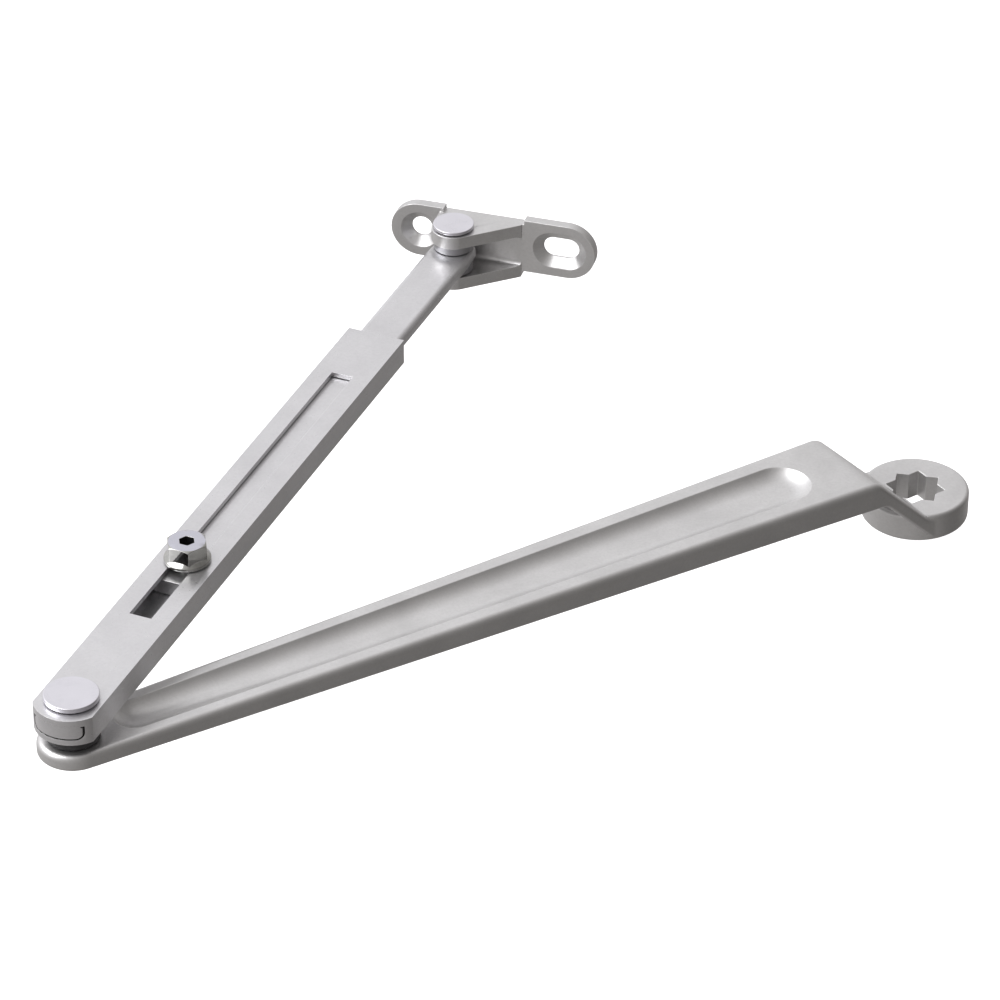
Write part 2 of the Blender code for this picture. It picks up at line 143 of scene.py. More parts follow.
def bridge(made, loops):
    """Quads between each ring of corners and the next."""
    for low, high in zip(loops, loops[1:]):
        for i in range(len(low)):
            j = (i + 1) % len(low)
            made.faces.new((low[i], low[j], high[j], high[i]))


def stack(name, rings, place):
    """A closed skin over rings of equal length, lowest first."""
    made = bmesh.new()
    loops = [[made.verts.new(point) for point in ring] for ring in rings]
    bridge(made, loops)
    made.faces.new(loops[0][::-1])
    made.faces.new(loops[-1])
    return as_object(made, name, place)


def prism(name, outline, low, high, place):
    return stack(name, [[(x, y, z) for x, y in outline] for z in (low, high)], place)


def turned(name, profile, steps, place):
    """A solid of revolution from (radius, height) pairs up its outer side."""
    return stack(name, [circle(r, z, steps) for r, z in profile], place)


def cut(piece, tools, operation="DIFFERENCE"):
    """Cuts or joins the tools into the piece, and removes them."""
    for tool in tools:
        step = piece.modifiers.new("cut", "BOOLEAN")
        step.operation = operation
        step.solver = "EXACT"
        step.object = tool
        keep_shape(piece)
        bpy.data.objects.remove(tool, do_unlink=True)


def keep_shape(piece):
    """Takes the modifiers' result as the piece's own mesh."""
    graph = bpy.context.evaluated_depsgraph_get()
    shaped = bpy.data.meshes.new_from_object(piece.evaluated_get(graph))
    piece.modifiers.clear()
    old = piece.data
    piece.data = shaped
    shaped.name = piece.name
    bpy.data.meshes.remove(old)


def ease(piece, width, segments=2, angle=32, merge=0.004):
    """Breaks the sharp edges, as tumbling and plating leave them, and keeps the flats flat."""
    made = bmesh.new()
    made.from_mesh(piece.data)
    bmesh.ops.remove_doubles(made, verts=made.verts, dist=merge * MM)
    bmesh.ops.recalc_face_normals(made, faces=made.faces)
    large = [face for face in made.faces if len(face.verts) > 4]
    bmesh.ops.triangulate(made, faces=large)
    made.to_mesh(piece.data)
    made.free()
    if width:
        step = piece.modifiers.new("ease", "BEVEL")
        step.width = width * MM
        step.segments = segments
        step.limit_method = "ANGLE"
        step.angle_limit = radians(angle)
        step.use_clamp_overlap = False
        step.miter_outer = "MITER_ARC"
        keep_shape(piece)
    piece.data.shade_smooth()
    piece.data.set_sharp_from_angle(angle=radians(48))
    step = piece.modifiers.new("flats", "WEIGHTED_NORMAL")
    step.keep_sharp = True
    step.weight = 60
    keep_shape(piece)


def fall(u, r):
    """How far a 45 degree slope that starts at u = 0 has dropped, with a bend of radius r."""
    tangent = r * tan(pi / 8)
    if u <= -tangent:
        return 0.0
    if u >= r * sin(pi / 4) - tangent:
        return u
    return r - sqrt(r * r - (u + tangent) ** 2)


def arm_half_width(x):
    share = min(1.0, (x + ARM_CENTRES) / (ARM_CENTRES + JOGGLE_TOP_X))
    return ELBOW_END_R + (ROOT_R - ELBOW_END_R) * share


def joggle_x(x, y):
    """Distance along the arm, measured square to the joggle's skewed bends."""
    return x + JOGGLE_SKEW * (y - ROOT_R)


def arm_top(x):
    root_top = HUB_H - ROOT_SUNK
    foot = JOGGLE_TOP_X + ARM_TOP - root_top
    if x < (JOGGLE_TOP_X + foot) / 2:
        return ARM_TOP - fall(x - JOGGLE_TOP_X, TOP_BEND_R)
    return root_top + fall(foot - x, TOP_FOOT_R)


def arm_bottom(x):
    low_end = ARM_TOP - ARM_T_HUB
    foot = JOGGLE_LOW_X + low_end - ROOT_SUNK
    if x < (JOGGLE_LOW_X + foot) / 2:
        share = max(0.0, min(1.0, (JOGGLE_LOW_X - x) / (ARM_CENTRES + JOGGLE_LOW_X)))
        return low_end + (ARM_T_HUB - ARM_T_ELBOW) * share - fall(x - JOGGLE_LOW_X, LOW_BEND_R)
    return ROOT_SUNK + fall(foot - x, LOW_FOOT_R)


def arm_flank(inset):
    """Along one flank: wide steps on the straight, close ones over the joggle."""
    run = ARM_CENTRES - STRAIGHT_END
    straight = [-ARM_CENTRES + run * i / STRAIGHT_STEPS for i in range(1, STRAIGHT_STEPS + 1)]
    joggle = [JOGGLE_STEP * i - 43.5 for i in range(1, 58)]
    return [(x, arm_half_width(x) - inset) for x in straight + joggle]


def arm_outline(inset):
    flank = arm_flank(inset)
    near = [(x, -y) for x, y in flank]
    root = arc(0, 0, ROOT_R - inset, -90, 90, ROOT_STEPS)
    elbow = arc(-ARM_CENTRES, 0, ELBOW_END_R - inset, 90, 270, 48)
    return near + root + flank[::-1] + elbow


def fill_across(made, loop, flank):
    """Fills an outline that mirrors about its long axis with strips from side to side."""
    centre = flank + ROOT_STEPS // 2
    total = len(loop)
    left = [loop[(centre - k) % total] for k in range(total // 2 + 1)]
    right = [loop[(centre + k) % total] for k in range(total // 2 + 1)]
    for k in range(total // 2):
        corners = []
        for vert in (left[k], left[k + 1], right[k + 1], right[k]):
            if vert not in corners:
                corners.append(vert)
        if len(corners) > 2:
            made.faces.new(corners)


def arm_casting(place):
    made = bmesh.new()
    rings = []
    for k in range(EDGE_STEPS + 1):
        turn = k * pi / 2 / EDGE_STEPS
        inset = ARM_EDGE_R_LOW * (1 - sin(turn))
        lift = ARM_EDGE_R_LOW * (1 - cos(turn))
        rings.append([(x, y, arm_bottom(joggle_x(x, y)) + lift) for x, y in arm_outline(inset)])
    for k in range(EDGE_STEPS + 1):
        turn = pi / 2 - k * pi / 2 / EDGE_STEPS
        inset = ARM_EDGE_R * (1 - sin(turn))
        drop = ARM_EDGE_R * (1 - cos(turn))
        rings.append([(x, y, arm_top(joggle_x(x, y)) - drop) for x, y in arm_outline(inset)])
    loops = [[made.verts.new(point) for point in ring] for ring in rings]
    bridge(made, loops)
    flank = len(arm_flank(0))
    fill_across(made, loops[0], flank)
    fill_across(made, loops[-1], flank)
    return as_object(made, "arm_casting", place)


def trough_outline(inset):
    return (arc(TROUGH_X0 + TROUGH_R0, 0, TROUGH_R0 - inset, 90, 270, 36)
            + arc(TROUGH_X1 - TROUGH_R1, 0, TROUGH_R1 - inset, -90, 90, 36))


def trough_tool(place):
    """The wall is an arc that starts level at the floor and reaches the rim at a slope."""
    wall_r = (TROUGH_COVE ** 2 + TROUGH_DEPTH ** 2) / (2 * TROUGH_DEPTH)
    rings = []
    for k in range(TROUGH_STEPS + 1):
        run = TROUGH_COVE * k / TROUGH_STEPS
        rise = wall_r - sqrt(wall_r ** 2 - run ** 2)
        outline = trough_outline(TROUGH_COVE - run)
        rings.append([(x, y, ARM_TOP - TROUGH_DEPTH + rise) for x, y in outline])
    rings.append([(x, y, ARM_TOP + 2) for x, y in trough_outline(0)])
    return stack("trough_tool", rings, place)


def star(half_flat):
    corner = half_flat * sqrt(2)
    notch = half_flat / cos(pi / 8)
    turns = [radians(SOCKET_TURN) + k * pi / 8 for k in range(16)]
    reaches = [notch if k % 2 else corner for k in range(16)]
    return [(reach * cos(turn), reach * sin(turn)) for reach, turn in zip(reaches, turns)]


def new_finish(name, metallic, roughness, **sockets):
    """A material with its Principled shader's own sockets set, and its tree to add to."""
    finish = bpy.data.materials.new(name)
    finish.use_nodes = True
    tree = finish.node_tree
    shader = tree.nodes["Principled BSDF"]
    shader.inputs["Metallic"].default_value = metallic
    shader.inputs["Roughness"].default_value = roughness
    for socket, value in sockets.items():
        shader.inputs[socket.replace("_", " ")].default_value = value
    return finish, tree, shader


def add(tree, kind, links=(), **values):
    """A node with its values set by socket name and its inputs linked."""
    node = tree.nodes.new("ShaderNode" + kind)
    for key, value in values.items():
        socket = key.replace("_", " ")
        if hasattr(node, key) and key not in node.inputs:
            setattr(node, key, value)
        else:
            node.inputs[socket].default_value = value
    for socket, source in dict(links).items():
        tree.links.new(source, node.inputs[socket])
    return node


def noise(tree, at, scale, detail=2.0, rough=0.5, distort=0.0):
    made = add(tree, "TexNoise", {"Vector": at},
               Scale=scale, Detail=detail, Roughness=rough, Distortion=distort)
    return made.outputs["Fac"]


def spread(tree, source, low, high, from_low=0.3, from_high=0.7):
    made = add(tree, "MapRange", {"Value": source})
    made.inputs["From Min"].default_value = from_low
    made.inputs["From Max"].default_value = from_high
    made.inputs["To Min"].default_value = low
    made.inputs["To Max"].default_value = high
    return made.outputs["Result"]


def blend_colours(tree, amount, first, second):
    made = add(tree, "Mix", data_type="RGBA")
    tree.links.new(amount, made.inputs["Factor"])
    for socket, value in ((made.inputs[6], first), (made.inputs[7], second)):
        if isinstance(value, tuple):
            socket.default_value = (*value, 1)
        else:
            tree.links.new(value, socket)
    return made.outputs[2]


def calculate(tree, operation, first, second=0.0):
    made = add(tree, "Math", operation=operation)
    for socket, value in ((made.inputs[0], first), (made.inputs[1], second)):
        if isinstance(value, (int, float)):
            socket.default_value = value
        else:
            tree.links.new(value, socket)
    return made.outputs[0]


def edge_mask(tree, reach):
    """1 on the ridges and corners of a piece, 0 on its flats."""
    round_off = add(tree, "Bevel", samples=6, Radius=reach)
    shape = add(tree, "NewGeometry")
    dot = add(tree, "VectorMath", operation="DOT_PRODUCT")
    tree.links.new(round_off.outputs["Normal"], dot.inputs[0])
    tree.links.new(shape.outputs["Normal"], dot.inputs[1])
    return spread(tree, dot.outputs["Value"], 1.0, 0.0, 0.86, 0.99)


def silver_coat(name, light, shade, roughness, grain_bump, along=0.0, draw_lines=0.0, wear_and_highlight=1.3):
    """Satin silver with fine grain, faint clouding, edges brightened as part wear and part painted
    highlight, and drawing lines if asked.
    """
    finish, tree, shader = new_finish(name, 0.92, roughness)
    at = add(tree, "TexCoord").outputs["Object"]
    clouds = noise(tree, at, 38.0, 4.0, 0.6, 0.4)
    speck = noise(tree, at, 900.0, 3.0, 0.7)
    grain = noise(tree, at, 2600.0, 2.0, 0.6)
    turn = add(tree, "Mapping", {"Vector": at}, vector_type="TEXTURE")
    turn.inputs["Rotation"].default_value = (0, 0, radians(along))
    turn.inputs["Scale"].default_value = (0.06, 0.0012, 0.0012)
    lines = noise(tree, turn.outputs["Vector"], 1.0, 4.0, 0.65)
    base = blend_colours(tree, spread(tree, clouds, 0.0, 1.0, 0.34, 0.66), shade, light)
    fleck = calculate(tree, "MULTIPLY", spread(tree, speck, 0.0, 1.0, 0.35, 0.75), 0.35)
    base = blend_colours(tree, fleck, base, tuple(c * 0.86 for c in shade))
    # Ridges and corners are blended towards the pale colour: part edge wear, part painted highlight.
    edges = edge_mask(tree, 0.0007)
    edge_wear_and_highlight = calculate(tree, "MULTIPLY", edges, spread(tree, clouds, 0.35, 0.9, 0.35, 0.6))
    base = blend_colours(tree, edge_wear_and_highlight, base, tuple(min(1.0, c * wear_and_highlight) for c in light))
    tree.links.new(base, shader.inputs["Base Color"])
    rough = spread(tree, speck, roughness - 0.05, roughness + 0.07)
    rough = calculate(tree, "ADD", rough, spread(tree, lines, -0.06 * draw_lines, 0.06 * draw_lines))
    rough = calculate(tree, "SUBTRACT", rough, calculate(tree, "MULTIPLY", edge_wear_and_highlight, 0.12))
    tree.links.new(rough, shader.inputs["Roughness"])
    height = calculate(tree, "ADD", calculate(tree, "MULTIPLY", grain, 0.6), speck)
    height = calculate(tree, "ADD", height, calculate(tree, "MULTIPLY", lines, draw_lines))
    bump = add(tree, "Bump", {"Height": height}, Strength=grain_bump, Distance=0.00006)
    tree.links.new(bump.outputs["Normal"], shader.inputs["Normal"])
    return finish


def coat(piece, finish):
    piece.data.materials.clear()
    piece.data.materials.append(finish)


hub_place = Matrix.Rotation(radians(ARM_TURN), 4, "Z")
elbow_place = hub_place @ Matrix.Translation((-ARM_CENTRES * MM, 0, 0))
main_arm = arm_casting(hub_place)
edge_turns = [k * pi / 16 for k in range(9)]
hub_edge = [(HUB_R - 0.03 - HUB_EDGE * (1 - sin(t)), HUB_EDGE * (1 - cos(t))) for t in edge_turns]
hub_profile = hub_edge + [(r, HUB_H - z) for r, z in hub_edge[::-1]]
hub_disc = turned("hub_disc", hub_profile, 128, hub_place)
cut(main_arm, [hub_disc], "UNION")
bush_hole = prism("bush_hole", hole_outline(BUSH_SEAT_R), 20, 40, elbow_place)
socket = prism("socket", star(SOCKET_SQUARE / 2), -1, HUB_H + 24, hub_place)
cut(main_arm, [trough_tool(hub_place), socket, bush_hole])
ease(main_arm, 0.22)
cast_silver = silver_coat("cast_silver", (0.745, 0.74, 0.74), (0.65, 0.645, 0.645),
                          roughness=0.36, grain_bump=0.35, along=ARM_TURN)
coat(main_arm, cast_silver)
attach(main_arm, "arm")
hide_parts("main_arm")


# ---------------------------------------------------------------------------------------------
# Elbow rings. A sintered bronze bush pressed into the arm, a dark spacer that holds the forearm up
# off it, and a steel washer under the arm for the pin's riveted tail.
# The bracket end has three more rings, so one node tree turns them all.


def ring_tree():
    """A ring of rectangular section with rounded corners, swept round a circle."""
    tree = bpy.data.node_groups.new("turned_ring", "GeometryNodeTree")
    sizes = (("Bore radius", 5.0), ("Outer radius", 8.0), ("Height", 2.0), ("Edge radius", 0.3))
    for label, value in sizes:
        socket = tree.interface.new_socket(label, in_out="INPUT", socket_type="NodeSocketFloat")
        socket.default_value = value
    tree.interface.new_socket("Material", in_out="INPUT", socket_type="NodeSocketMaterial")
    tree.interface.new_socket("Geometry", in_out="OUTPUT", socket_type="NodeSocketGeometry")
    given = tree.nodes.new("NodeGroupInput")

    def math(operation, first, second):
        node = tree.nodes.new("ShaderNodeMath")
        node.operation = operation
        for socket, value in zip(node.inputs, (first, second)):
            if isinstance(value, float):
                socket.default_value = value
            else:
                tree.links.new(value, socket)
        return node.outputs[0]

    bore = given.outputs["Bore radius"]
    outer = given.outputs["Outer radius"]
    path = tree.nodes.new("GeometryNodeCurvePrimitiveCircle")
    path.inputs["Resolution"].default_value = 96
    tree.links.new(math("MULTIPLY", math("ADD", bore, outer), 0.5), path.inputs["Radius"])
    section = tree.nodes.new("GeometryNodeCurvePrimitiveQuadrilateral")
    tree.links.new(math("SUBTRACT", outer, bore), section.inputs["Width"])
    tree.links.new(given.outputs["Height"], section.inputs["Height"])
    fillet = tree.nodes.new("GeometryNodeFilletCurve")
    fillet.mode = "POLY"
    fillet.inputs["Count"].default_value = 4
    tree.links.new(section.outputs["Curve"], fillet.inputs["Curve"])
    tree.links.new(given.outputs["Edge radius"], fillet.inputs["Radius"])
    sweep = tree.nodes.new("GeometryNodeCurveToMesh")
    tree.links.new(path.outputs["Curve"], sweep.inputs["Curve"])
    tree.links.new(fillet.outputs["Curve"], sweep.inputs["Profile Curve"])
    whole = tree.nodes.new("GeometryNodeRealizeInstances")
    tree.links.new(sweep.outputs["Mesh"], whole.inputs["Geometry"])
    finish = tree.nodes.new("GeometryNodeSetMaterial")
    tree.links.new(whole.outputs["Geometry"], finish.inputs["Geometry"])
    tree.links.new(given.outputs["Material"], finish.inputs["Material"])
    result = tree.nodes.new("NodeGroupOutput")
    tree.links.new(finish.outputs["Geometry"], result.inputs["Geometry"])
    return tree


rings = ring_tree()


def ring(node, name, bore, outer, edge, finish, body, slot):
    """One ring in the place of its CAD node, whose box gives its middle and its height."""
    low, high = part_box(node)
    centre = (low + high) / 2
    piece = in_scene(name, bpy.data.meshes.new(name))
    step = piece.modifiers.new("ring", "NODES")
    step.node_group = rings
    inputs = {item.name: item.identifier
              for item in rings.interface.items_tree if item.in_out == "INPUT"}
    height = (high.z - low.z) / MM
    values = {"Bore radius": bore, "Outer radius": outer, "Height": height, "Edge radius": edge}
    for label, value in values.items():
        step[inputs[label]] = value
    step[inputs["Material"]] = finish
    keep_shape(piece)
    made = bmesh.new()
    made.from_mesh(piece.data)
    bmesh.ops.scale(made, vec=(MM, MM, MM), verts=made.verts)
    bmesh.ops.translate(made, vec=centre, verts=made.verts)
    bmesh.ops.recalc_face_normals(made, faces=made.faces)
    made.to_mesh(piece.data)
    made.free()
    ease(piece, 0)
    coat(piece, finish)
    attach(piece, body)
    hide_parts(node)


def turned_steel(name, centre, colour, roughness, pitch, marks):
    """Bare steel faced on a lathe: rings round the piece's own axis, a faint stain, and edges painted
    near-white as a highlight.
    """
    finish, tree, shader = new_finish(name, 1.0, roughness)
    at = add(tree, "TexCoord").outputs["Object"]
    own = add(tree, "Mapping", {"Vector": at})
    own.inputs["Location"].default_value = (-centre.x, -centre.y, 0)
    flat = add(tree, "VectorMath", operation="MULTIPLY")
    tree.links.new(own.outputs["Vector"], flat.inputs[0])
    flat.inputs[1].default_value = (1, 1, 0)
    reach = add(tree, "VectorMath", operation="LENGTH")
    tree.links.new(flat.outputs["Vector"], reach.inputs[0])
    wobble = noise(tree, at, 300.0, 3.0, 0.6)
    ridge = calculate(tree, "MULTIPLY", reach.outputs["Value"], 2 * pi / pitch)
    ridge = calculate(tree, "ADD", ridge, calculate(tree, "MULTIPLY", wobble, 5.0))
    ridge = calculate(tree, "SINE", ridge)
    stain = noise(tree, at, 90.0, 2.0, 0.5)
    dull = tuple(c * 0.95 for c in colour)
    base = blend_colours(tree, spread(tree, stain, 0.0, 1.0, 0.35, 0.65), dull, colour)
    # Ridges and corners are blended towards near-white: a painted highlight.
    edges = edge_mask(tree, 0.0005)
    base = blend_colours(tree, calculate(tree, "MULTIPLY", edges, 0.6), base, (0.9, 0.9, 0.92))
    tree.links.new(base, shader.inputs["Base Color"])
    rough = calculate(tree, "ADD", spread(tree, stain, roughness - 0.02, roughness + 0.03),
                      calculate(tree, "MULTIPLY", ridge, 0.025))
    tree.links.new(rough, shader.inputs["Roughness"])
    height = calculate(tree, "ADD", calculate(tree, "MULTIPLY", ridge, marks), wobble)
    bump = add(tree, "Bump", {"Height": height}, Strength=0.06, Distance=0.00005)
    tree.links.new(bump.outputs["Normal"], shader.inputs["Normal"])
    return finish


def painted_recess_shade(name):
    """Near-black bare steel with a faint mottle: painted shade for narrow recesses where little light
    reaches.
    """
    finish, tree, shader = new_finish(name, 0.6, 0.5)
    at = add(tree, "TexCoord").outputs["Object"]
    shade_noise = noise(tree, at, 900.0, 3.0)
    base = blend_colours(tree, shade_noise, (0.012, 0.012, 0.014), (0.04, 0.04, 0.045))
    tree.links.new(base, shader.inputs["Base Color"])
    return finish


def sintered_bronze(name):
    """Dull bronze with oil-dark pores."""
    finish, tree, shader = new_finish(name, 0.9, 0.45)
    at = add(tree, "TexCoord").outputs["Object"]
    pores = noise(tree, at, 2200.0, 4.0, 0.75)
    tarnish = noise(tree, at, 160.0, 3.0, 0.6)
    base = blend_colours(tree, spread(tree, tarnish, 0.0, 1.0), (0.40, 0.27, 0.13), (0.52, 0.38, 0.20))
    base = blend_colours(tree, spread(tree, pores, 0.0, 0.8, 0.52, 0.68), base, (0.12, 0.08, 0.04))
    tree.links.new(base, shader.inputs["Base Color"])
    tree.links.new(spread(tree, pores, 0.38, 0.6), shader.inputs["Roughness"])
    bump = add(tree, "Bump", {"Height": pores}, Strength=0.3, Distance=0.00005)
    tree.links.new(bump.outputs["Normal"], shader.inputs["Normal"])
    return finish


def dark_polymer(name):
    """Moulded black nylon with a spark-eroded skin and rubbed, paler patches."""
    finish, tree, shader = new_finish(name, 0.0, 0.5, Specular_IOR_Level=0.4)
    at = add(tree, "TexCoord").outputs["Object"]
    skin = noise(tree, at, 1800.0, 3.0, 0.6)
    rub = noise(tree, at, 170.0, 4.0, 0.6, 0.5)
    rubbed = spread(tree, rub, 0.0, 1.0, 0.4, 0.7)
    base = blend_colours(tree, rubbed, (0.05, 0.05, 0.052), (0.085, 0.085, 0.09))
    tree.links.new(base, shader.inputs["Base Color"])
    tree.links.new(spread(tree, skin, 0.42, 0.6), shader.inputs["Roughness"])
    bump = add(tree, "Bump", {"Height": skin}, Strength=0.25, Distance=0.00006)
    tree.links.new(bump.outputs["Normal"], shader.inputs["Normal"])
    return finish


ELBOW_RING_BORE = 5.08
elbow_at = Vector(joints["elbow_pivot"]["pos_m"])
bronze = sintered_bronze("sintered_bronze")
nylon = dark_polymer("black_nylon")
elbow_steel = turned_steel("elbow_steel", elbow_at, (0.80, 0.79, 0.84), 0.30, 0.00042, 0.5)
ring("elbow_bush", "elbow_bush_bronze", ELBOW_RING_BORE, 6.5, 0.25, bronze, "arm", "bronze")
ring("elbow_spacer", "elbow_spacer_nylon", ELBOW_RING_BORE, 9.0, 0.35, nylon, "sleeve",
     "dark_spacer")
ring("elbow_tail_washer", "elbow_washer_steel", ELBOW_RING_BORE, 8.45, 0.25, elbow_steel, "sleeve",
     "pin_steel")


# ---------------------------------------------------------------------------------------------
# Elbow pin. Steel, turned in one with its flat disc head, which sits on the sleeve with a fine
# undercut beneath its rim. The other end is spun over the washer under the arm.


def headed_pin(node, name, place_at, shank, head, tail, crown_edge, finish, body):
    """A pin between its CAD node's ends. The head and the tail are a radius and a thickness each."""
    low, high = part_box(node)
    bottom = low.z / MM
    top = high.z / MM
    head_low = top - head[1]
    seat = bottom + tail[1]
    profile = [(shank - 0.9, bottom + 0.55), (shank + 0.2, bottom)]
    profile += arc(tail[0] - 0.7, bottom + 0.7, 0.7, -90, 0, 5)
    profile += [(tail[0], seat), (shank, seat), (shank, head_low), (head[0] - 0.5, head_low)]
    profile += [(head[0] - 0.45, head_low + 0.3), (head[0] - 0.12, head_low + 0.3)]
    profile += arc(head[0] - 0.12, head_low + 0.42, 0.12, -90, 0, 3)
    profile += arc(head[0] - crown_edge, top - crown_edge, crown_edge, 0, 90, 6)
    place = Matrix.Translation((place_at.x, place_at.y, 0))
    pin = turned(name, profile, 112, place)
    ease(pin, 0, merge=0.002)
    coat(pin, finish)
    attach(pin, body)
    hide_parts(node)


headed_pin("elbow_pin", "elbow_pin_turned", elbow_at, shank=5.0, head=(9.35, 1.95), tail=(6.6, 1.4),
           crown_edge=0.35, finish=elbow_steel, body="sleeve")


# ---------------------------------------------------------------------------------------------
# Forearm sleeve. A length of drawn rectangular steel tube, silver coated, with crisp corners. One
# slot is milled in its top for the clamp screw, and its elbow end is milled round the pin's axis.

forearm_dir = Vector(joints["bar_slide"]["axis"])
forearm_turn = degrees(atan2(forearm_dir.y, forearm_dir.x))
forearm_turned = Matrix.Rotation(radians(forearm_turn), 4, "Z")
forearm_place = Matrix.Translation((elbow_at.x, elbow_at.y, 0)) @ forearm_turned
SLEEVE_W = 22.0
SLEEVE_WALL = 1.8
SLEEVE_END = 244.0
SLEEVE_NOSE_R = 12.85
SLOT_X0 = 50.5
SLOT_X1 = 213.9
SLOT_W = 8.2
PIN_HOLE_R = 5.3
BORE_CORNER_R = 0.6
sleeve_low, sleeve_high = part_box("forearm_sleeve")
SLEEVE_BOTTOM = sleeve_low.z / MM
SLEEVE_TOP = sleeve_high.z / MM


def nose(r, half_width, end, steps=40):
    reach = degrees(asin(half_width / r))
    return arc(0, 0, r, 180 - reach, 180 + reach, steps) + [(end, -half_width), (end, half_width)]


def rounded_box(y, z0, z1, r, x):
    """A section across the forearm with its corners rounded."""
    corners = [(y - r, z1 - r, 0), (-y + r, z1 - r, 90), (-y + r, z0 + r, 180), (y - r, z0 + r, 270)]
    section = []
    for cy, cz, start in corners:
        section += [(x, py, pz) for py, pz in arc(cy, cz, r, start, start + 90, 6)]
    return section


NOSE_BORE_END = 18.0
NOSE_WALL = 1.77
NOSE_ROOF = 2.08
NOSE_FLOOR = 2.1
NOSE_CORNER_R = 2.4
NOSE_SHELF = 2.6


def nose_section(x, gap, roof_gap):
    """The elbow end's bore, round below, with a small shelf each side under its roof."""
    y = SLEEVE_W / 2 - NOSE_WALL - gap
    floor = SLEEVE_BOTTOM + NOSE_FLOOR + gap
    shelf = SLEEVE_TOP - NOSE_SHELF - gap
    roof = SLEEVE_TOP - NOSE_ROOF - roof_gap
    r = NOSE_CORNER_R - gap
    inner = SLEEVE_W / 2 - SLEEVE_WALL - 1.0 - roof_gap
    section = arc(-y + r, floor + r, r, 180, 270, 8) + arc(y - r, floor + r, r, 270, 360, 8)
    section += [(y, shelf), (inner, shelf), (inner, roof)]
    section += [(-inner, roof), (-inner, shelf), (-y, shelf)]
    return [(x, py, pz) for py, pz in section]


sleeve_outline = nose(SLEEVE_NOSE_R, SLEEVE_W / 2, SLEEVE_END)
sleeve = prism("forearm_sleeve_tube", sleeve_outline, SLEEVE_BOTTOM, SLEEVE_TOP, forearm_place)
inner_y = SLEEVE_W / 2 - SLEEVE_WALL
inner_low = SLEEVE_BOTTOM + SLEEVE_WALL
inner_high = SLEEVE_TOP - SLEEVE_WALL
bore_sections = [rounded_box(inner_y, inner_low, inner_high, BORE_CORNER_R, x)
                 for x in (NOSE_BORE_END - 1, SLEEVE_END + 5)]
bore = stack("bore", bore_sections, forearm_place)
slot_y = SLOT_W / 2
slot_outline = [(SLOT_X0, -slot_y), (SLOT_X1, -slot_y), (SLOT_X1, slot_y), (SLOT_X0, slot_y)]
slot_tool = prism("slot_tool", slot_outline, SLEEVE_TOP - 3, SLEEVE_TOP + 1, forearm_place)
pin_hole = prism("pin_hole", hole_outline(PIN_HOLE_R), SLEEVE_BOTTOM - 1, SLEEVE_TOP + 1, forearm_place)
nose_sections = [nose_section(x, 0.0, 0.0) for x in (-20, NOSE_BORE_END)]
nose_bore = stack("nose_bore", nose_sections, forearm_place)
cut(sleeve, [bore, nose_bore, slot_tool, pin_hole])
ease(sleeve, 0.05)
drawn_silver = silver_coat("drawn_silver", (0.76, 0.755, 0.77), (0.69, 0.685, 0.70),
                           roughness=0.33, grain_bump=0.25, along=forearm_turn,
                           draw_lines=0.6, wear_and_highlight=1.05)
coat(sleeve, drawn_silver)
# The second material, near-black, goes on the faces inside the nose bore: painted shade in the hairline
# gap round the block.
sleeve.data.materials.append(painted_recess_shade("painted_recess_shade"))
into_forearm = forearm_place.inverted()
for face in sleeve.data.polygons:
    at = into_forearm @ face.center / MM
    in_bore = inner_low < at.z < inner_high and abs(at.y) < SLEEVE_W / 2 - 1.5
    if in_bore and at.x < NOSE_BORE_END and at.xy.length < SLEEVE_NOSE_R - 0.15:
        face.material_index = 1
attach(sleeve, "sleeve")
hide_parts("forearm_sleeve")


# ---------------------------------------------------------------------------------------------
# Elbow block. A solid steel filler pushed into the sleeve's elbow end and milled flush with it, so
# that the pin has metal right through. A hairline shows round it.

BLOCK_END = 17.0
HAIRLINE = 0.5
ROOF_CONTACT = 0.02
block_sections = [nose_section(x, HAIRLINE, ROOF_CONTACT) for x in (-16, BLOCK_END)]
block = stack("elbow_block_milled", block_sections, forearm_place)
block_outline = nose(SLEEVE_NOSE_R - 0.02, SLEEVE_W / 2, BLOCK_END + 2)
round_end = prism("round_end", block_outline, SLEEVE_BOTTOM, SLEEVE_TOP, forearm_place)
cut(block, [round_end], "INTERSECT")
block_hole = prism("block_hole", hole_outline(PIN_HOLE_R), SLEEVE_BOTTOM, SLEEVE_TOP, forearm_place)
cut(block, [block_hole])
ease(block, 0)
coat(block, drawn_silver)
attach(block, "sleeve")
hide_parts("elbow_block")


# ---------------------------------------------------------------------------------------------
# Forearm bar. Flat drawn steel bar with rounded long edges, which slides in the sleeve and sets the
# forearm's length. It is tapped for the clamp screw, and its far end is an eye with a pressed bush.

BAR_W = 17.0
BAR_EDGE = 2.1
BAR_START = 75.0
BAR_EYE_R = 8.3
FOREARM = 315.0
BUSH_EYE_R = 5.28
TAPPED_R = 4.3
BUSH_BORE_R = 4.08
BAR_EDGE_STEPS = 6
bar_low, bar_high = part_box("forearm_bar")
BAR_BOTTOM = bar_low.z / MM
BAR_TOP = bar_high.z / MM


def bar_outline(inset):
    reach = degrees(asin((BAR_W / 2 - 0.4) / (BAR_W / 2)))
    neck = FOREARM - 6.0
    half = BAR_W / 2 - inset
    eye = arc(FOREARM, 0, BAR_EYE_R - inset, -reach, reach, 40)
    return [(BAR_START, half), (BAR_START, -half), (neck, -half)] + eye + [(neck, half)]


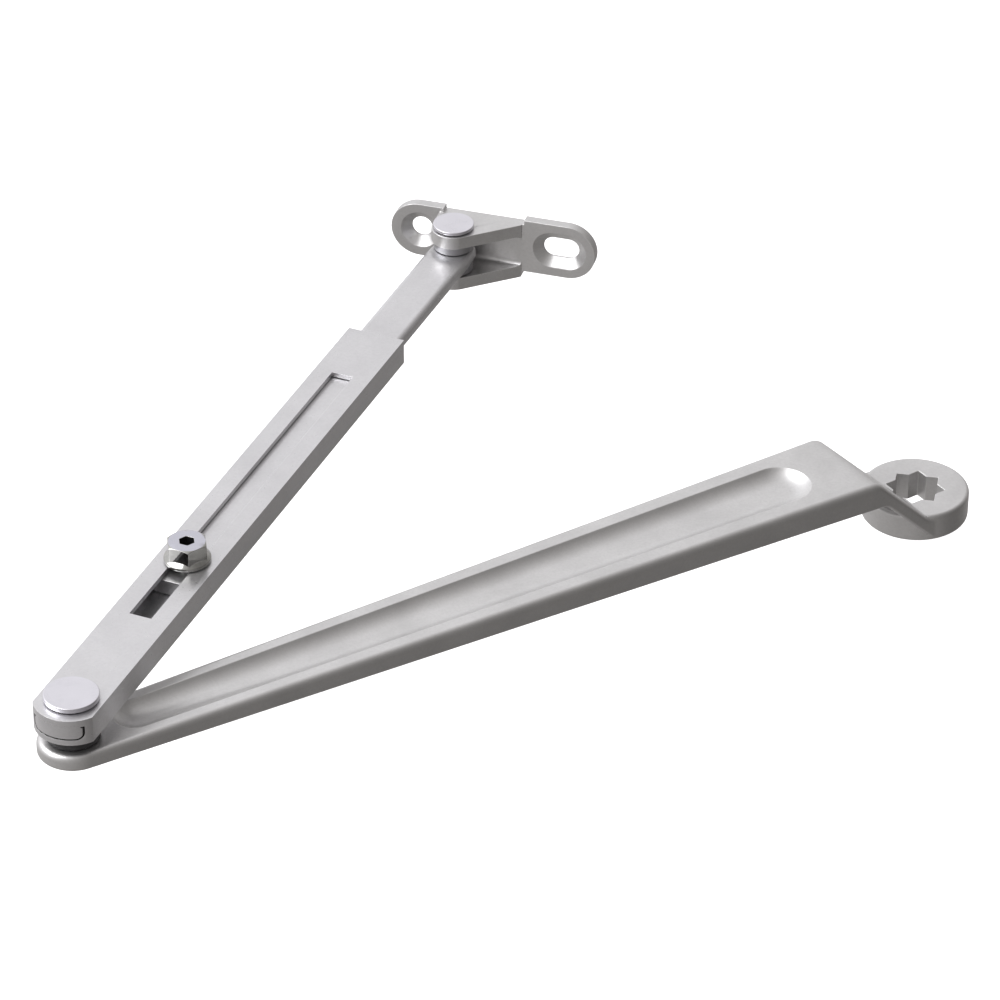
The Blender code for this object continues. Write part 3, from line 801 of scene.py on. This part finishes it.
bar_rings = []
for k in range(BAR_EDGE_STEPS + 1):
    turn = k * pi / 2 / BAR_EDGE_STEPS
    z = BAR_BOTTOM + BAR_EDGE * (1 - cos(turn))
    bar_rings.append([(x, y, z) for x, y in bar_outline(BAR_EDGE * (1 - sin(turn)))])
for k in range(BAR_EDGE_STEPS + 1):
    turn = pi / 2 - k * pi / 2 / BAR_EDGE_STEPS
    z = BAR_TOP - BAR_EDGE * (1 - cos(turn))
    bar_rings.append([(x, y, z) for x, y in bar_outline(BAR_EDGE * (1 - sin(turn)))])
bar = stack("forearm_bar_drawn", bar_rings, forearm_place)
screw_at = Vector(joints["clamp_screw_turn"]["pos_m"])
bracket_at = Vector(joints["bracket_pivot"]["pos_m"])
eye_outline = hole_outline(BUSH_EYE_R, FOREARM)
bush_eye = prism("bush_eye", eye_outline, BAR_BOTTOM - 1, BAR_TOP + 1, forearm_place)
SCREW_X = (screw_at.xy - elbow_at.xy).length / MM
tapped = prism("tapped", hole_outline(TAPPED_R, SCREW_X), BAR_BOTTOM - 1, BAR_TOP + 1, forearm_place)
cut(bar, [bush_eye, tapped])
ease(bar, 0.08, angle=50)
coat(bar, drawn_silver)
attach(bar, "bar")
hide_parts("forearm_bar")
ring("bar_bush", "bar_bush_bronze", BUSH_BORE_R, 5.2, 0.2, bronze, "bar", "bronze")


# ---------------------------------------------------------------------------------------------
# Clamp screw. A plated M8 flanged hexagon screw with a 5 mm key socket. Its shank goes through the
# sleeve's slot into the bar, so that tightening it draws the bar up and locks the forearm's length.

SCREW_HEX = 13.0
SCREW_FLANGE_R = 8.2
SCREW_SHANK_R = 4.0
SCREW_PITCH = 1.25
SCREW_KEY = 5.0
KEY_DEPTH = 4.2
THREAD_DEPTH = 0.62
THREAD_STEPS = 48
THREAD_ROWS = 8
screw_low, screw_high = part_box("clamp_screw")
SCREW_TIP = screw_low.z / MM
SCREW_TOP = screw_high.z / MM
SCREW_SEAT = SLEEVE_TOP + 0.3
screw_place = Matrix.Translation((screw_at.x, screw_at.y, 0)) @ forearm_turned


def hexagon(across_flats, z):
    r = across_flats / sqrt(3)
    return [(r * cos(radians(30 + 60 * k)), r * sin(radians(30 + 60 * k)), z) for k in range(6)]


def threaded_shank(low, high):
    """The thread is in the surface: its radius falls and rises with height and turn."""
    rows = int((high - low) / SCREW_PITCH * THREAD_ROWS)
    shank = []
    for row in range(rows + 1):
        z = low + (high - low) * row / rows
        run_out = min(1.0, (high - z) / 0.8)
        tip = max(0.0, 1 - (z - low) / 0.7) * 0.6
        round_points = []
        for k in range(THREAD_STEPS):
            phase = (z / SCREW_PITCH - k / THREAD_STEPS) % 1.0
            depth = THREAD_DEPTH * (1 - abs(2 * phase - 1)) * run_out
            r = SCREW_SHANK_R - max(depth, tip)
            turn = 2 * pi * k / THREAD_STEPS
            round_points.append((r * cos(turn), r * sin(turn), z))
        shank.append(round_points)
    return shank


flange = [(SCREW_SHANK_R, SCREW_SEAT), (SCREW_FLANGE_R - 0.15, SCREW_SEAT)]
flange += [(SCREW_FLANGE_R, SCREW_SEAT + 0.15), (SCREW_FLANGE_R, SCREW_SEAT + 1.05)]
flange += [(SCREW_FLANGE_R - 0.22, SCREW_SEAT + 1.27), (SCREW_HEX / 2 + 0.25, SCREW_SEAT + 2.3)]
flange += [(SCREW_HEX / 2 - 1.0, SCREW_SEAT + 2.6)]
screw = turned("clamp_screw_plated", flange, 96, screw_place)
hexagon_sections = [hexagon(SCREW_HEX, SCREW_SEAT + 1.0), hexagon(SCREW_HEX, SCREW_TOP)]
hexagon_head = stack("hexagon_head", hexagon_sections, screw_place)
crown_r = SCREW_HEX / 2
crown_profile = [(crown_r + 3.4, SCREW_SEAT + 0.5), (crown_r + 3.4, SCREW_TOP - 2.0)]
crown_profile += [(crown_r - 0.1, SCREW_TOP)]
crown = turned("crown", crown_profile, 96, screw_place)
cut(hexagon_head, [crown], "INTERSECT")
shank = stack("shank", threaded_shank(SCREW_TIP, SCREW_SEAT + 0.4), screw_place)
cut(screw, [hexagon_head, shank], "UNION")
key_sections = [hexagon(SCREW_KEY, SCREW_TOP - KEY_DEPTH), hexagon(SCREW_KEY, SCREW_TOP + 1)]
key = stack("key", key_sections, screw_place)
cut(screw, [key])
ease(screw, 0.1, 2, 30)


def bright_plate(name):
    """Bright zinc over steel: a blue-grey mirror, hazed a little, with up-facing faces painted lighter
    and edges painted with a highlight.
    """
    finish, tree, shader = new_finish(name, 1.0, 0.12)
    at = add(tree, "TexCoord").outputs["Object"]
    haze = noise(tree, at, 420.0, 4.0, 0.6, 0.5)
    pits = noise(tree, at, 1500.0, 2.0, 0.6)
    sides = blend_colours(tree, spread(tree, haze, 0.0, 1.0), (0.40, 0.40, 0.385), (0.52, 0.52, 0.50))
    normal = add(tree, "NewGeometry").outputs["Normal"]
    facing = add(tree, "SeparateXYZ", {"Vector": normal}).outputs["Z"]
    # Faces that point up get a lighter, bluer colour: painted light on the head's top.
    flat_top = spread(tree, facing, 0.0, 1.0, 0.95, 0.99)
    base = blend_colours(tree, flat_top, sides, (0.62, 0.62, 0.69))
    # Ridges and corners are blended towards near-white: a painted highlight.
    edges = edge_mask(tree, 0.0004)
    base = blend_colours(tree, calculate(tree, "MULTIPLY", edges, 0.7), base, (0.93, 0.93, 0.95))
    tree.links.new(base, shader.inputs["Base Color"])
    rough = calculate(tree, "ADD", spread(tree, haze, 0.05, 0.11),
                      calculate(tree, "MULTIPLY", flat_top, 0.15))
    tree.links.new(rough, shader.inputs["Roughness"])
    bump = add(tree, "Bump", {"Height": pits}, Strength=0.06, Distance=0.00005)
    tree.links.new(bump.outputs["Normal"], shader.inputs["Normal"])
    return finish


coat(screw, bright_plate("bright_zinc"))
# The second material, near-black, goes on the faces inside the key socket: painted shade in the socket.
screw.data.materials.append(painted_recess_shade("painted_shade_key_socket"))
for face in screw.data.polygons:
    from_axis = (face.center.xy - screw_at.xy).length / MM
    in_head = SCREW_SEAT < face.center.z / MM < SCREW_TOP - 0.12
    if in_head and from_axis < SCREW_KEY / 2 + 0.06:
        face.material_index = 1
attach(screw, "screw")
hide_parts("clamp_screw")


# ---------------------------------------------------------------------------------------------
# Frame bracket. A steel casting screwed to the door frame: a plate with two round-ended wings, one
# with a round hole and one with a slot, both countersunk, and two ears that carry the bracket pin.

PLATE_FRONT = 9.2
PLATE_T = 4.0
WING_R = 11.1
WING_LEFT = -16.5
WING_RIGHT = 41.65
HOLE_LEFT = -16.2
HOLE_RIGHT = 38.8
HOLE_R = 4.0
SINK_R = 7.5
SINK_DEPTH = 3.2
SLOT_HALF = 2.9
EAR_TOP = 54.7
EAR_T = 5.0
EAR_LOW_TOP = 36.9
EAR_TIP_R = 8.4
EAR_ROOT = 24.0
MIDDLE_LEFT = -6.7
MIDDLE_RIGHT = 24.8
THROAT_R = 2.0
EAR_HOLE_R = 4.08
WING_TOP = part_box("frame_bracket")[1].z / MM
bracket_place = Matrix.Translation((bracket_at.x, bracket_at.y, 0))


def upright(name, outline, y0, y1, place):
    """An outline in X and Z, drawn from one Y to another."""
    return stack(name, [[(x, y, z) for x, z in outline] for y in (y0, y1)], place)


def obround(x, half, z, r, steps=28):
    return arc(x + half, z, r, -90, 90, steps) + arc(x - half, z, r, 90, 270, steps)


def frame_bracket():
    back = PLATE_FRONT + PLATE_T
    middle = WING_TOP - WING_R
    ear_bottom = EAR_LOW_TOP - EAR_T
    wings = obround((WING_LEFT + WING_RIGHT) / 2, (WING_RIGHT - WING_LEFT) / 2, middle, WING_R)
    body = upright("frame_bracket_cast", wings, PLATE_FRONT, back, bracket_place)
    slope = degrees(atan2(PLATE_FRONT + 6.2, EAR_ROOT)) - 90
    ears = arc(0, 0, EAR_TIP_R, 180, 360 + slope, 40)
    ears += [(EAR_ROOT, PLATE_FRONT - 0.6), (EAR_ROOT, back), (-EAR_TIP_R, back)]
    clevis = prism("clevis", ears, ear_bottom, EAR_TOP, bracket_place)
    throat = arc(PLATE_FRONT - THROAT_R, EAR_LOW_TOP + THROAT_R, THROAT_R, -90, 0, 6)
    throat += arc(PLATE_FRONT - THROAT_R, EAR_TOP - EAR_T - THROAT_R, THROAT_R, 0, 90, 6)
    throat += [(-40, EAR_TOP - EAR_T), (-40, EAR_LOW_TOP)]
    gap = stack("gap", [[(x, y, z) for y, z in throat] for x in (-40, 60)], bracket_place)
    cut(clevis, [gap])
    notch = [(MIDDLE_LEFT, PLATE_FRONT - 1), (MIDDLE_RIGHT, PLATE_FRONT - 1)]
    notch += [(MIDDLE_RIGHT, back + 1), (MIDDLE_LEFT, back + 1)]
    crest = prism("crest", notch, EAR_TOP, WING_TOP + 1, bracket_place)
    sill = prism("sill", notch, WING_TOP - 2 * WING_R - 4, ear_bottom, bracket_place)
    cut(body, [crest, sill])
    cut(body, [clevis], "UNION")
    widen = (SINK_R - HOLE_R) / SINK_DEPTH
    sink = ((PLATE_FRONT - 0.5, SINK_R + 0.5 * widen), (PLATE_FRONT + SINK_DEPTH, HOLE_R),
            (back + 1, HOLE_R))
    for x, half in ((HOLE_LEFT, 0.0), (HOLE_RIGHT, SLOT_HALF)):
        sections = [[(px, y, pz) for px, pz in obround(x, half, middle, r)] for y, r in sink]
        cut(body, [stack("screw_hole", sections, bracket_place)])
    pin_eyes = prism("pin_eyes", hole_outline(EAR_HOLE_R), ear_bottom - 1, EAR_TOP + 1, bracket_place)
    cut(body, [pin_eyes])
    return body


bracket = frame_bracket()
ease(bracket, 0.18, 2, 35)
coat(bracket, cast_silver)
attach(bracket, "bracket")
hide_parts("frame_bracket")


# ---------------------------------------------------------------------------------------------
# Bracket pin and washers. A smaller headed steel pin through both ears and the bar's eye, with a
# steel washer above the bar and a thicker one below it to hold the bar at its height.

bracket_steel = turned_steel("bracket_steel", bracket_at, (0.80, 0.79, 0.84), 0.30, 0.00038, 0.5)
headed_pin("bracket_pin", "bracket_pin_turned", bracket_at, shank=4.0, head=(7.7, 1.5), tail=(5.4, 1.3),
           crown_edge=0.3, finish=bracket_steel, body="bracket")
washer_steel = turned_steel("washer_steel", bracket_at, (0.45, 0.45, 0.47), 0.38, 0.00038, 0.5)
ring("upper_washer", "upper_washer_steel", EAR_HOLE_R, 7.45, 0.2, washer_steel, "bracket",
     "pin_steel")
ring("lower_washer", "lower_washer_steel", EAR_HOLE_R, 7.45, 0.2, washer_steel, "bracket",
     "pin_steel")


# ---------------------------------------------------------------------------------------------
# Studio. A pale floor, a dim sky that is brighter at the back and round the soft light, a large
# soft light over the left shoulder, and the camera.

FLOOR_Z = -0.02
FLOOR_SIDE = 30.0


def pale_floor():
    finish, tree, shader = new_finish("pale_floor", 0.0, 0.7, Specular_IOR_Level=0.2)
    at = add(tree, "TexCoord").outputs["Object"]
    mottle = noise(tree, at, 3.0, 3.0, 0.5)
    base = blend_colours(tree, mottle, (0.90, 0.90, 0.90), (0.93, 0.93, 0.93))
    tree.links.new(base, shader.inputs["Base Color"])
    shader.inputs["Emission Color"].default_value = (1, 1, 1, 1)
    shader.inputs["Emission Strength"].default_value = 0.6
    made = bmesh.new()
    bmesh.ops.create_grid(made, x_segments=1, y_segments=1, size=FLOOR_SIDE)
    bmesh.ops.translate(made, vec=(0, 0, FLOOR_Z), verts=made.verts)
    mesh = bpy.data.meshes.new("floor")
    made.to_mesh(mesh)
    made.free()
    floor = in_scene("floor", mesh)
    coat(floor, finish)
    floor.visible_glossy = False
    floor.visible_diffuse = False


def soft_light(name, location, aim, size, power):
    lamp = bpy.data.lights.new(name, "AREA")
    lamp.shape = "SQUARE"
    lamp.size = size
    lamp.energy = power
    light = in_scene(name, lamp)
    light.location = location
    light.rotation_mode = "QUATERNION"
    light.rotation_quaternion = (Vector(aim) - Vector(location)).to_track_quat("-Z", "Y")


def sky():
    """A dim room, brighter high at the back, with a broad glow round the soft light."""
    world = bpy.data.worlds.new("studio")
    bpy.context.scene.world = world
    world.use_nodes = True
    tree = world.node_tree
    back = tree.nodes["Background"]
    at = add(tree, "TexCoord").outputs["Generated"]

    def toward(direction):
        dot = add(tree, "VectorMath", operation="DOT_PRODUCT")
        tree.links.new(at, dot.inputs[0])
        dot.inputs[1].default_value = direction
        return dot.outputs["Value"]

    def glow(direction, power, strength):
        facing = calculate(tree, "MULTIPLY_ADD", toward(Vector(direction).normalized()), 0.5)
        facing.node.inputs[2].default_value = 0.5
        return calculate(tree, "MULTIPLY", calculate(tree, "POWER", facing, power), strength)

    level = calculate(tree, "ADD", toward((-0.12, -0.15, 0.0)), 0.25)
    level = calculate(tree, "ADD", level, glow((-0.45, 0.85, 0.3), 3.0, 0.75))
    level = calculate(tree, "ADD", level, glow((-0.62, -0.25, 0.74), 8.6, 0.9))
    tint = blend_colours(tree, level, (1.0, 0.955, 0.915), (0.99, 0.985, 1.0))
    lit = add(tree, "VectorMath", operation="SCALE")
    tree.links.new(tint, lit.inputs[0])
    tree.links.new(level, lit.inputs["Scale"])
    tree.links.new(lit.outputs["Vector"], back.inputs["Color"])
    back.inputs["Strength"].default_value = 1.0


def camera(location, azimuth, elevation, roll, lens, shift_x, shift_y):
    data = bpy.data.cameras.new("camera")
    data.lens = lens
    data.sensor_width = 36.0
    data.shift_x = shift_x
    data.shift_y = shift_y
    data.clip_start = 0.05
    data.clip_end = 100.0
    eye = in_scene("camera", data)
    eye.location = location
    a = radians(azimuth)
    e = radians(elevation)
    back = Vector((sin(a) * cos(e), -cos(a) * cos(e), sin(e)))
    eye.rotation_mode = "QUATERNION"
    eye.rotation_quaternion = (-back).to_track_quat("-Z", "Y") @ Quaternion((0, 0, 1), radians(roll))
    bpy.context.scene.camera = eye


pale_floor()
sky()
soft_light("key", location=(-1.28, -0.58, 1.44), aim=(-0.1, -0.1, 0.03), size=1.6, power=22)
camera(location=(0.26956, -1.44306, 0.9925), azimuth=17.16, elevation=33.65, roll=-0.087,
       lens=174.75, shift_x=0.0491, shift_y=-0.0378)
bpy.context.scene.view_settings.view_transform = "Standard"
